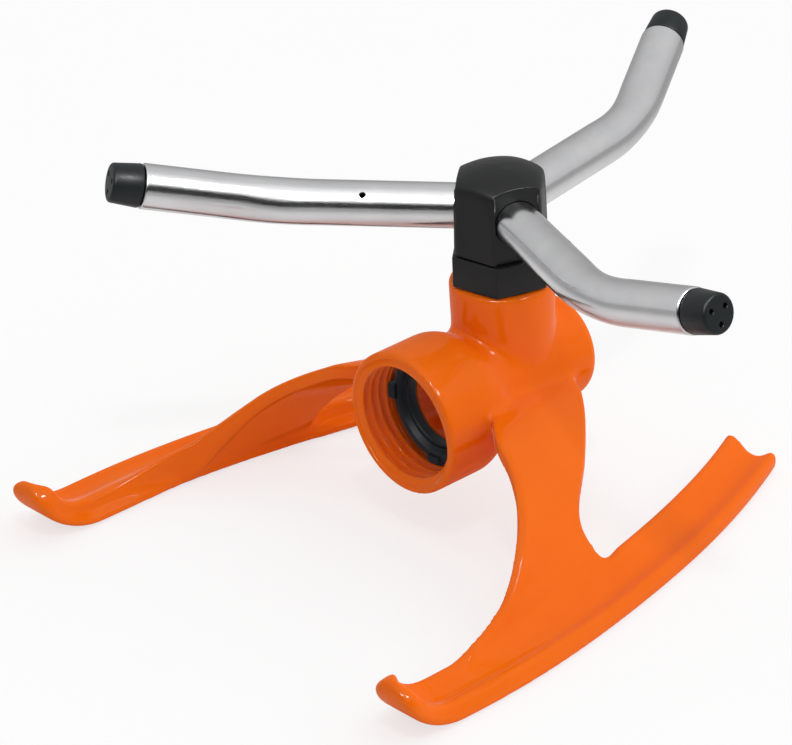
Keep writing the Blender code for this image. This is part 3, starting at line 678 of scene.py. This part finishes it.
def makeBoreCutter():
    rim, seat, threadRows = bore["rimRound"], bore["seat"], int(bore["seat"] * bore["rowsPerMm"])
    depths = [-clear, -clear, 0.0] + [rim * i / bore["rimRows"] for i in range(1, bore["rimRows"])]
    depths += [between(rim, seat, i / threadRows) for i in range(threadRows + 1)] + [seat]
    last = len(depths) - 1

    def point(u, row):
        radius = 0 if row in (0, last) else boreRadius(u % 1, depths[row])
        angle = 2 * pi * u
        return Vector((radius * cos(angle), radius * sin(angle), casting["collarFront"] - depths[row]))

    return gridShape("bore", bore["across"], last, point, place=inletPlace)


def makeBarrel():
    top, middle = casting["barrelTop"], casting["bodyHeight"]
    rim = topCorner(casting["barrelRadius"], top, casting["barrelRimRound"])
    foot = casting["barrelRadius"] - casting["barrelTaper"]
    return turned("barrel", [(0, top), *rim, (foot, middle), (0, middle)], casting["steps"])


def makeCollar():
    # a straight stretch behind the rim, and a long smooth shoulder down to the neck
    front, radius, steps = casting["collarFront"], casting["collarRadius"], casting["shoulderSteps"]
    start, drop = front - casting["collarStraight"], (radius - casting["collarNeck"]) / 2
    shoulder = [
        (radius - drop * (1 - cos(pi * i / steps)), start - casting["collarShoulder"] * i / steps)
        for i in range(steps + 1)
    ]
    profile = [
        (0, front), *topCorner(radius, front, casting["collarFrontRound"]), *shoulder, (0, shoulder[-1][1])
    ]
    return turned("collar", profile, casting["steps"], place=inletPlace)


def makeCrossTube():
    front = casting["collarFront"] - casting["collarStraight"]
    radius, rear = casting["bodyRadius"], -casting["bodyRear"]
    profile = [(0, front), (radius, front), *lowCorner(radius, rear, casting["bodyRearRound"], 10), (0, rear)]
    return turned("crossTube", profile, casting["steps"], place=bodyPlace)


def makeCasting():
    part = casting
    legShape, runnerShape = makeLeg(), makeRunner()
    sides = [legShape, runnerShape, mirrored(legShape), mirrored(runnerShape)]
    whole = joined("baseCasting", [makeBarrel(), makeCollar(), makeCrossTube(), *sides])
    castTogether(whole, part["voxel"], part["triangles"], part["softening"], part["filleting"])

    combine(whole, makeBoreCutter())
    waterwayFront = part["collarFront"] - bore["seat"] + clear
    combine(whole, bar("waterway", bore["waterway"], bore["waterwayEnd"], waterwayFront, place=inletPlace))
    top = part["barrelTop"]
    combine(whole, bar("nutBore", part["nutBore"], part["nutBoreFoot"], top + clear))
    combine(whole, bar("sealGroove", part["sealGroove"], top - part["sealGrooveDepth"], top + clear))
    finished(whole, enamel, "base", "base_casting")
    whole.visible_glossy = False        # keeps its orange out of the polished tubes


makeCasting()
print("base casting made")


# Hose washer: a raised outer ring, a groove and an inner bead, with four lugs that hold it in the thread

washer = {
    "back": 18.1, "thickness": 3.2, "outer": 12.3, "hole": 8.4, "frontRound": 0.35, "backRound": 0.3,
    "beadRound": 0.35, "beadFall": 0.8, "ringRound": 0.25, "ringPlace": 2.65,
    # the groove's points, as (out from the hole, back from the front)
    "groove": ((0.85, 1.05), (1.1, 1.3), (1.4, 1.38), (1.7, 1.25), (2.05, 0.7), (2.35, 0.15)),
    "lugs": 4, "lugWidth": 3.4, "lugOut": 1.15, "lugIn": 1.0, "lugStep": 0.2, "lugForward": 0.7,
    "lugRound": 0.3, "steps": 144,
}


def makeHoseWasher():
    part = washer
    back, outer, hole, front = part["back"], part["outer"], part["hole"], part["back"] + part["thickness"]
    behind, bead, ringRound = part["backRound"], part["beadRound"], part["ringRound"]
    profile = [
        *topCorner(outer, front, part["frontRound"], 5), *lowCorner(outer, back, behind, 5),
        *arc(hole + behind, back + behind, behind, -90, -180, 5),
        *arc(hole + bead, front - part["beadFall"] - bead, bead, 180, 60, 6),
        *((hole + out, front - down) for out, down in part["groove"]),
        *arc(hole + part["ringPlace"], front - ringRound, ringRound, 135, 90, 3),
    ]
    whole = turned("hoseWasher", profile, part["steps"], ring=True, place=inletPlace)
    length = part["thickness"] - part["lugStep"] + part["lugForward"]
    size = (part["lugIn"] + part["lugOut"], part["lugWidth"], length)
    middle = (outer + (part["lugOut"] - part["lugIn"]) / 2, 0, back + part["lugStep"] + length / 2)
    for i in range(part["lugs"]):
        place = inletPlace @ spun(radians(i * 360 / part["lugs"])) @ Matrix.Translation(middle)
        combine(whole, box("lug", size, place, part["lugRound"]), "UNION")
    finished(whole, washerRubber, "base", "hose_washer")


makeHoseWasher()
print("hose washer made")


# Bearing: nut, seals, thrust washers and spindle

bearing = {
    "gap": 0.3, "nutCorner": 11.5, "nutFoot": 50.2, "nutTop": 57.2, "nutTurn": -18.4, "nutBevel": 0.22,
    "shankRadius": 7.5, "shankFoot": 41.2, "nutRing": 0.75, "spindleRing": 0.6,
    "washerThickness": 0.9, "washerHole": 4.85, "washerRound": 0.15,
    "spindleRadius": 4.6, "spindleBore": 3.2, "spindleTop": 63.5, "spindleChamfer": 0.3, "boreChamfer": 0.4,
    "flangeRadius": 6.9, "flangeTop": 39.7, "flangeThickness": 1.8, "flangeRound": 0.25, "flangeFillet": 0.2,
}


def makeNut():
    part, height = bearing, bearing["nutTop"] - bearing["nutFoot"]
    bm = sixSided(height, part["nutCorner"], part["nutCorner"])
    roundEdges(bm, bm.edges[:], part["nutBevel"], 5)
    nut = drawn("bearingNut", bm, lifted(part["nutFoot"] + height / 2) @ spun(radians(part["nutTurn"])))
    foot, seal = part["shankFoot"], 2 * part["spindleRing"]
    combine(nut, bar("shank", part["shankRadius"], foot, part["nutFoot"] + clear), "UNION")
    combine(nut, bar("spindleHole", part["washerHole"], foot - clear, part["nutTop"] + clear))
    room = part["spindleRadius"] + seal + 2 * part["gap"]
    combine(nut, bar("sealRoom", room, foot - clear, foot + seal + part["gap"]))
    finished(nut, hubPlastic, "base", "bearing_nut")


def makeSeal(name, node, inside, height, section):
    profile = arc(inside + section, height, section, 90, -252, 20)
    finished(turned(name, profile, ring=True), ringRubber, "base", node)


def makeThrustWasher(name, node, low):
    high, hole, outer = low + bearing["washerThickness"], bearing["washerHole"], bearing["flangeRadius"]
    edge = bearing["washerRound"]
    profile = [*topCorner(outer, high, edge, 4), *lowCorner(outer, low, edge, 4), (hole, low), (hole, high)]
    finished(turned(name, profile, ring=True), nylon, "base", node)


def makeSpindle():
    part = bearing
    top, flange, low = part["spindleTop"], part["flangeTop"], part["flangeTop"] - part["flangeThickness"]
    outer, hole, wide = part["spindleRadius"], part["spindleBore"], part["flangeRadius"]
    chamfer, boreChamfer, fillet = part["spindleChamfer"], part["boreChamfer"], part["flangeFillet"]
    profile = [
        (outer - chamfer, top), (outer, top - chamfer), (outer, flange + fillet), (outer + fillet, flange),
        *topCorner(wide, flange, part["flangeRound"], 4), *lowCorner(wide, low, part["flangeRound"], 4),
        (hole + boreChamfer, low), (hole, low + boreChamfer), (hole, top),
    ]
    finished(turned("spindle_", profile, ring=True), brass, "rotor", "spindle")


def makeBearing():
    part = bearing
    gap, thick, thin = part["gap"], part["nutRing"], part["spindleRing"]
    makeNut()
    makeSeal("nutSeal", "nut_o_ring", part["shankRadius"] + gap, part["nutFoot"] - gap - thick, thick)
    makeSeal("spindleSeal", "spindle_o_ring", part["spindleRadius"] + gap, part["shankFoot"] + thin, thin)
    makeThrustWasher("lowerThrustWasher", "lower_thrust_washer", part["flangeTop"] + gap)
    makeThrustWasher("upperThrustWasher", "upper_thrust_washer", part["nutTop"] + gap)
    makeSpindle()


makeBearing()
print("bearing made")


# Hub: a six-sided block with a domed top, an arched panel and a round socket for each tube

hub = {
    "corner": 10.8, "footShare": 1.03, "edgeRound": 1.1, "foot": -9.16, "edge": 6.6,
    "domeRadius": 20.0, "domeOverrun": 3.0, "shoulderVoxel": 0.3, "shoulderRounds": 150,
    "shoulderReach": 5.0, "shoulderBlend": 3.0, "plainFaces": (0.5, 1.2), "socket": 5.08, "socketStart": 4.0,
    "panelDepth": 0.6, "panelHalf": 5.05, "panelTop": 8.0, "panelArch": 14.6, "panelReach": 40.0,
    "spindleHole": 4.9, "chamber": 6.2, "chamberReach": 5.7, "recess": 7.5, "recessDepth": 1.2,
    "voxel": 0.17, "triangles": 70000, "softening": 2,
}
firstArm = 220.03        # degrees from the X axis
armNames = ("left", "front", "back")


def armTurn(k):
    return radians(firstArm + 120 * k)


def armFrame(k):
    # at the arms' height, with X along the arm
    return lifted(armHeight) @ spun(armTurn(k))


def roundShoulders(block):
    # the plain faces blend into the dome, while the panels' faces keep their corners
    voxelSkin(block, hub["shoulderVoxel"])
    (middle, swing), weights = hub["plainFaces"], {}
    for vert in block.data.vertices:
        plain = middle - swing * cos(3 * (atan2(vert.co.y, vert.co.x) - armTurn(0)))
        risen = vert.co.z - armHeight - hub["edge"] + hub["shoulderReach"]
        weight = share(plain, 0, 1) * share(risen, 0, hub["shoulderBlend"])
        if weight:
            weights[vert.index] = weight
    smoothing(block, hub["shoulderRounds"], weights)
    finer = block.modifiers.new("finer", "SUBSURF")
    finer.levels = finer.render_levels = 1
    settle(block)
    block.vertex_groups.clear()


def makeHubBlock():
    corner, dome, foot = hub["corner"], hub["domeRadius"], hub["foot"]
    apex = hub["edge"] + dome - sqrt(dome**2 - corner**2)
    height = apex + clear - foot
    bm = sixSided(height, corner * hub["footShare"], corner)
    upright = [edge for edge in bm.edges if abs(edge.verts[0].co.z - edge.verts[1].co.z) > 1]
    roundEdges(bm, upright, hub["edgeRound"], 8)
    block = drawn("hubBlock", bm, lifted(armHeight) @ lifted(foot + height / 2) @ spun(armTurn(0)))

    lowest = 90 - degrees(asin(corner / dome)) - hub["domeOverrun"]
    crown = arc(0, apex - dome, dome, 90, lowest, 30)
    profile = [*crown, (crown[-1][0], foot - clear), (0, foot - clear)]
    combine(block, turned("dome", profile, 128, place=lifted(armHeight)), "INTERSECT")
    roundShoulders(block)
    return block


def makePanelCutter(k):
    arch, corner, reach = hub["panelArch"], hub["corner"], 2 * hub["panelReach"]
    start = corner * cos(pi / 6) - hub["panelDepth"]
    outwards = armFrame(k) @ spun(pi / 2, "Y")
    panel = bar("panel", arch, start, corner + 2 * clear, 160, lifted(hub["panelTop"] - arch) @ outwards)
    combine(panel, box("width", (reach, 2 * hub["panelHalf"], reach), armFrame(k)), "INTERSECT")
    return panel


def makeHub():
    part, level = hub, lifted(armHeight)
    block, foot, reach = makeHubBlock(), hub["foot"], hub["chamberReach"]
    for k in range(3):
        combine(block, makePanelCutter(k))
    castTogether(block, part["voxel"], part["triangles"], part["softening"])
    combine(block, bar("spindleHole", part["spindleHole"], foot - clear, 0, place=level))
    combine(block, bar("chamber", part["chamber"], -reach, reach, place=level))
    combine(block, bar("washerRecess", part["recess"], foot - clear, foot + part["recessDepth"], place=level))
    for k in range(3):
        outwards = armFrame(k) @ spun(pi / 2, "Y")
        combine(block, bar("socket", part["socket"], part["socketStart"], part["corner"], place=outwards))
    finished(block, hubPlastic, "rotor", "hub")


makeHub()
print("hub made")


# Arms: bent tubes, a little flattened at the bend, each with a side jet and a drilled cap

arm = {
    "radius": 4.93, "wall": 0.9, "start": 5.9, "bendPlace": 48.2, "bendRadius": 42.0, "sideways": 19.5,
    "upwards": 14.8, "outer": 29.4, "flattening": 0.05, "widening": 0.4, "flatReach": 12.0,
    "rimRound": 0.42, "rimChamfer": 0.1, "jetPlace": 28.8, "jetAngle": 46.0, "jetRadius": 0.75,
    "around": 96, "outsideRows": 130, "rimRows": 8, "insideRows": 60, "streakLength": 10.0,
}
cap = {
    "length": 6.9, "step": 0.15, "taper": 0.5, "tipRound": 0.7, "gap": 0.3, "plug": 6.0, "plugRadius": 3.65,
    "cavity": 2.55, "endWall": 2.0, "foot": ((0.03, 0.6), (0.15, 0.36), (0.35, 0.3)),
    "holes": 3, "holeRadius": 0.6, "holeMouth": 0.7, "mouthFall": (0.02, 0.14), "holeDepth": 3.0,
    "holeCircle": 2.25,
}


def armCourse(k):
    # a function from the distance along an arm's middle line to its place, direction and inward side
    turn = armTurn(k)
    first = Vector((cos(turn), sin(turn), 0))
    swung, raised = turn + radians(arm["sideways"]), radians(arm["upwards"])
    last = Vector((cos(swung) * cos(raised), sin(swung) * cos(raised), sin(raised)))
    bend = acos(first.dot(last))
    reach = arm["bendRadius"] * tan(bend / 2)
    inner = (last - first * first.dot(last)).normalized()
    straight = arm["bendPlace"] - reach
    curved = arm["bendRadius"] * bend
    total = straight + curved + arm["outer"] - reach
    bottom = Vector((0, 0, armHeight))

    def at(distance):
        angle = min(max((distance - straight) / arm["bendRadius"], 0), bend)
        forward = first * cos(angle) + inner * sin(angle)
        inward = inner * cos(angle) - first * sin(angle)
        place = first * min(distance, straight)
        place += (first * sin(angle) + inner * (1 - cos(angle))) * arm["bendRadius"]
        place += last * max(distance - straight - curved, 0)
        return bottom + place, forward, inward

    return at, total, straight + curved / 2


def tubeWall(total):
    # (distance, radius) out along the outside, over the rolled rim and back along the inside
    start, outer, inner = arm["start"], arm["radius"], arm["radius"] - arm["wall"]
    edge, rows, back = arm["rimRound"], arm["outsideRows"], arm["insideRows"]
    outEnd, inEnd = total - edge, total - arm["rimChamfer"]
    rim = [pi / 2 * i / arm["rimRows"] for i in range(1, arm["rimRows"] + 1)]
    return [
        (start, inner), (start, outer),
        *((between(start, outEnd, i / rows), outer) for i in range(1, rows + 1)),
        *((outEnd + edge * sin(angle), outer - edge + edge * cos(angle)) for angle in rim),
        (total, inner + arm["rimChamfer"]), (inEnd, inner),
        *((between(inEnd, start, i / back), inner) for i in range(1, back)),
        (start, inner),
    ]


def makeTube(k):
    at, total, bendMiddle = armCourse(k)
    rows = tubeWall(total)

    def point(u, row):
        distance, radius = rows[row]
        place, forward, inward = at(distance)
        side = inward.cross(forward)
        squeeze = arm["flattening"] * eased(share(abs(distance - bendMiddle), arm["flatReach"], 0))
        across, upwards = radius * (1 - squeeze), radius * (1 + squeeze * arm["widening"])
        angle = 2 * pi * u
        return place + inward * (across * cos(angle)) + side * (upwards * sin(angle))

    def uvLength(row):
        return rows[row][0] / arm["streakLength"]

    tube = gridShape(f"armTube.{armNames[k]}", arm["around"], len(rows) - 1, point, uvLength=uvLength)
    jetPlace = armFrame(k) @ Matrix.Translation((arm["jetPlace"], 0, 0))
    jetPlace = jetPlace @ spun(radians(arm["jetAngle"] - 90), "X")
    combine(tube, bar("jet", arm["jetRadius"], 0, 2 * arm["radius"], 40, jetPlace))
    finished(tube, aluminium, "rotor", f"arm_tube_{armNames[k]}", sharp=40)

    end, forward, _ = at(total)
    makeCap(k, Matrix.Translation(end) @ forward.to_track_quat("Z", "Y").to_matrix().to_4x4())


def makeCap(k, seat):
    part, wide, tip, radius = cap, arm["radius"] - cap["step"], cap["length"], cap["holeRadius"]
    plugEnd, cavityEnd = part["gap"] - part["plug"], tip - part["endWall"]
    profile = [
        (0, tip), *topCorner(wide - part["taper"], tip, part["tipRound"]),
        *((wide - inwards, height) for inwards, height in part["foot"]),
        (part["plugRadius"], part["gap"]), (part["plugRadius"], plugEnd),
        (part["cavity"], plugEnd), (part["cavity"], cavityEnd), (0, cavityEnd),
    ]
    shape = turned(f"nozzleCap.{armNames[k]}", profile, place=seat)
    above, below, mouth = tip + clear, tip - part["holeDepth"], part["holeMouth"]
    mouthTop, mouthEnd = (tip - fall for fall in part["mouthFall"])
    hole = [(0, above), (mouth, above), (mouth, mouthTop), (radius, mouthEnd), (radius, below), (0, below)]
    for i in range(part["holes"]):
        angle = radians(i * 360 / part["holes"] - 90)
        away = Matrix.Translation((part["holeCircle"] * cos(angle), part["holeCircle"] * sin(angle), 0))
        combine(shape, turned("hole", hole, 32, place=seat @ away))
    finished(shape, capPlastic, "rotor", f"nozzle_cap_{armNames[k]}")


for k in range(3):
    makeTube(k)
print("arms made")


# Floor, lamps and surroundings, in metres

studio = {
    "floorSize": 6.0, "floorDrop": 0.0002, "floorColour": 0.88, "floorSeen": 0.98, "floorGrain": 0.02,
    "floorGlow": 0.7, "mirroredFloor": (0.84, 0.42), "fallOff": (0.07, 0.24),
    "ambient": 0.87, "fromRight": 0.48, "fromBehind": 0.28,
    "ceilingGlow": 1.15, "ceilingInFront": (0.45, 0.55), "darkGlow": 0.03, "turnsDark": (-0.37, 0.22),
    "lowTurn": 0.45, "wallGlow": (0.37, 0.66), "wallHeights": (0.1, 0.93), "sideGlow": 0.24,
    "aim": (0.0, 0.0, 0.03),
    "lamps": (
        # name, azimuth and elevation from the object, distance, width, height, watts, lights matt surfaces
        ("keySoftbox", -42.0, 66.0, 1.2, 0.10, 0.10, 1.6, True),
        ("leftGlint", -64.0, 52.0, 1.2, 0.34, 0.22, 10.0, False),
        ("rightGlint", 14.0, 52.0, 1.2, 0.34, 0.22, 10.0, False),
    ),
}
white = (1.0, 1.0, 1.0, 1.0)


def makeFloor():
    # it keeps the object's shadow, glows to the camera, and is darker further out in reflections
    bm = bmesh.new()
    bmesh.ops.create_grid(bm, x_segments=4, y_segments=4, size=studio["floorSize"] / 2)
    bmesh.ops.translate(bm, verts=bm.verts, vec=(0, 0, -studio["floorDrop"]))
    floor = drawn("floor", bm)
    look, colour = Look("floorPaper"), studio["floorColour"]
    seen, glossy = look.ray("Camera"), look.ray("Glossy")
    away = look.node("ShaderNodeVectorMath", {"operation": "LENGTH"}, {0: look.place()}, out=1)
    fading = look.ranged(away, *studio["fallOff"], *studio["mirroredFloor"])
    grain = look.noise(look.place(), 30.0, 3.0) * studio["floorGrain"]
    pale = colour + seen * (studio["floorSeen"] - colour) - grain + glossy * (fading - colour)
    look.surface(Base_Color=pale, Roughness=0.9, Specular_IOR_Level=0.0)
    glow = look.node("ShaderNodeEmission", None, {"Color": white, "Strength": 1.0})
    matt = Wire(look, look.shader.outputs[0])
    paper = look.node("ShaderNodeMixShader", None, {0: seen * studio["floorGlow"], 1: matt, 2: glow})
    look.feed(look.tree.nodes["Material Output"].inputs["Surface"], paper)
    floor.data.materials.append(look.holder)


def makeLamps():
    for name, azimuth, elevation, distance, width, height, watts, matt in studio["lamps"]:
        lamp = bpy.data.lights.new(name, "AREA")
        lamp.shape, lamp.size, lamp.size_y, lamp.energy = "RECTANGLE", width, height, watts
        a, e = radians(azimuth), radians(elevation)
        towards = Vector((cos(a) * cos(e), sin(a) * cos(e), sin(e)))
        holder = bpy.data.objects.new(name, lamp)
        turn = towards.to_track_quat("Z", "Y").to_matrix().to_4x4()
        holder.matrix_world = Matrix.Translation(Vector(studio["aim"]) + towards * distance) @ turn
        holder.visible_diffuse = matt
        scene.collection.objects.link(holder)


def makeSurroundings():
    # white to the camera; light falls softly from behind on the right; reflections see a white ceiling
    # that ends over a dark wall in front, and grey walls behind
    world = bpy.data.worlds.new("surroundings")
    scene.world = world
    look = Look("surroundings", world)
    look.tree.nodes.clear()
    camera, glossy = look.ray("Camera"), look.ray("Glossy")
    direction = look.node("ShaderNodeTexCoord", out="Generated")
    height = look.node("ShaderNodeSeparateXYZ", None, {0: direction}, out=2)
    across = radians(view["azimuth"])

    def towards(x, y):
        sockets = {0: direction, 1: (x, y, 0)}
        return look.node("ShaderNodeVectorMath", {"operation": "DOT_PRODUCT"}, sockets, out=1)

    front, right = towards(sin(across), -cos(across)), towards(cos(across), sin(across))
    soft = studio["ambient"] + right * studio["fromRight"] - front * studio["fromBehind"]
    inFront = look.ranged(front - (1.0 - height) * studio["lowTurn"], *studio["turnsDark"], 0.0, 1.0)
    walls = look.ranged(height, *studio["wallHeights"], *studio["wallGlow"])
    behind = walls + right * right * studio["sideGlow"]
    ahead = look.ranged(height, *studio["ceilingInFront"], studio["darkGlow"], studio["ceilingGlow"])
    mirrored = behind + inFront * (ahead - behind)
    glow = soft + glossy * (mirrored - soft)
    glow = glow + camera * (1.0 - glow)
    background = look.node("ShaderNodeBackground", None, {"Color": white, "Strength": glow})
    look.node("ShaderNodeOutputWorld", None, {"Surface": background})


makeFloor()
makeLamps()
makeSurroundings()
scene.view_settings.view_transform = "Standard"
print("studio made")
